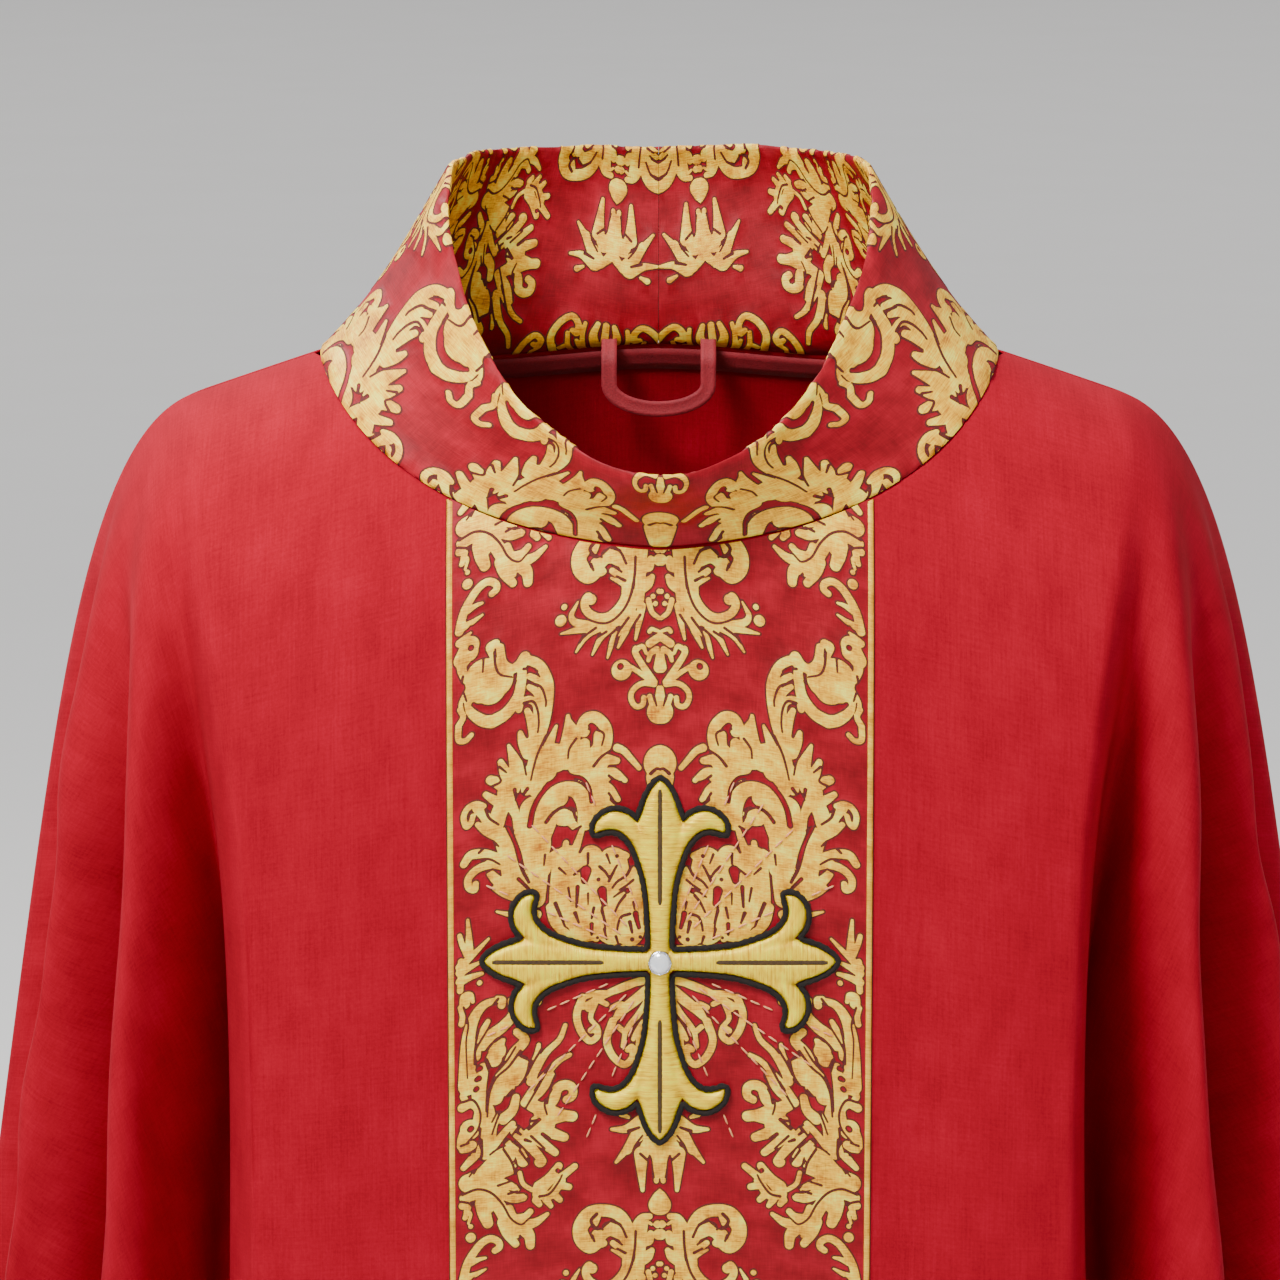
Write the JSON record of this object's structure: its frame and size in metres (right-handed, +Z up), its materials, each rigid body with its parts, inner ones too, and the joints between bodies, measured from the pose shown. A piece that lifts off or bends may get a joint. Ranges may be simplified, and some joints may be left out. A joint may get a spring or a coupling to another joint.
{
  "type": "chasuble",
  "caption": "Hanging vestment with a funnel collar, a patterned band and applied cross front and back, and side folds that fall from the shoulders.",
  "frame": {"origin": "middle of the neck opening, just below the collar seam on the shoulder ridge, where the garment rests on the wearer", "axes": "+Z up along the garment's length, the front faces -Y, +X to the viewer's right when facing the front"},
  "size_m": [0.6416, 0.2653, 1.2893],
  "materials": {
    "main_cloth": "matte light wool blend with a fine vertical slub",
    "brocade": "damask ground with woven gold leaf scrolls",
    "canvas": "stiff woven interlining",
    "gold_braid": "narrow woven gold braid",
    "gold_satin": "close satin stitch in yellow-gold thread",
    "gold_thread": "fine pinkish-gold running stitch",
    "felt": "soft felt padding",
    "black_cord": "fuzzy couched cord",
    "seam_tape": "woven cotton tape",
    "silver": "polished bezel",
    "stone": "clear faceted paste stone"
  },
  "bodies": {
    "root": {"front_panel": "main_cloth", "back_panel": "main_cloth", "neck_tape": "seam_tape", "collar_outer": "brocade", "collar_canvas": "canvas", "collar_facing": "brocade", "front_orphrey": "brocade", "back_orphrey": "brocade", "front_interlining": "canvas", "back_interlining": "canvas", "cross_padding": "felt", "cross_arm_top": "gold_satin", "cross_arm_bottom": "gold_satin", "cross_arm_left": "gold_satin", "cross_arm_right": "gold_satin", "cross_outline": "black_cord", "stone_setting": "silver", "stone": "stone", "ray_stitches": "gold_thread", "back_cross_padding": "felt", "back_cross_arms": "gold_satin", "back_cross_outline": "black_cord", "back_stone_setting": "silver", "back_stone": "stone", "back_ray_stitches": "gold_thread", "hanging_loop": "seam_tape", "front_braid_left": "gold_braid", "front_braid_right": "gold_braid", "back_braid_left": "gold_braid", "back_braid_right": "gold_braid"},
    "front_drop": {"front_drop_panel": "main_cloth", "front_hem_facing": "main_cloth", "front_drop_orphrey": "brocade", "front_drop_interlining": "canvas", "front_drop_braid_left": "gold_braid", "front_drop_braid_right": "gold_braid"},
    "back_drop": {"back_drop_panel": "main_cloth", "back_hem_facing": "main_cloth", "back_drop_orphrey": "brocade", "back_drop_interlining": "canvas", "back_drop_braid_left": "gold_braid", "back_drop_braid_right": "gold_braid"}
  },
  "joints": [
    {"name": "front_drop_swing", "type": "hinge", "parent": "root", "child": "front_drop", "pos_m": [0, -0.136, -0.4845], "axis": [-1, 0, 0], "range_deg": [0, 30], "stiffness_Nm_per_rad": 3, "springref_deg": -6.88},
    {"name": "back_drop_swing", "type": "hinge", "parent": "root", "child": "back_drop", "pos_m": [0, 0.11, -0.4845], "axis": [1, 0, 0], "range_deg": [0, 30], "stiffness_Nm_per_rad": 3, "springref_deg": -6.88}
  ]
}
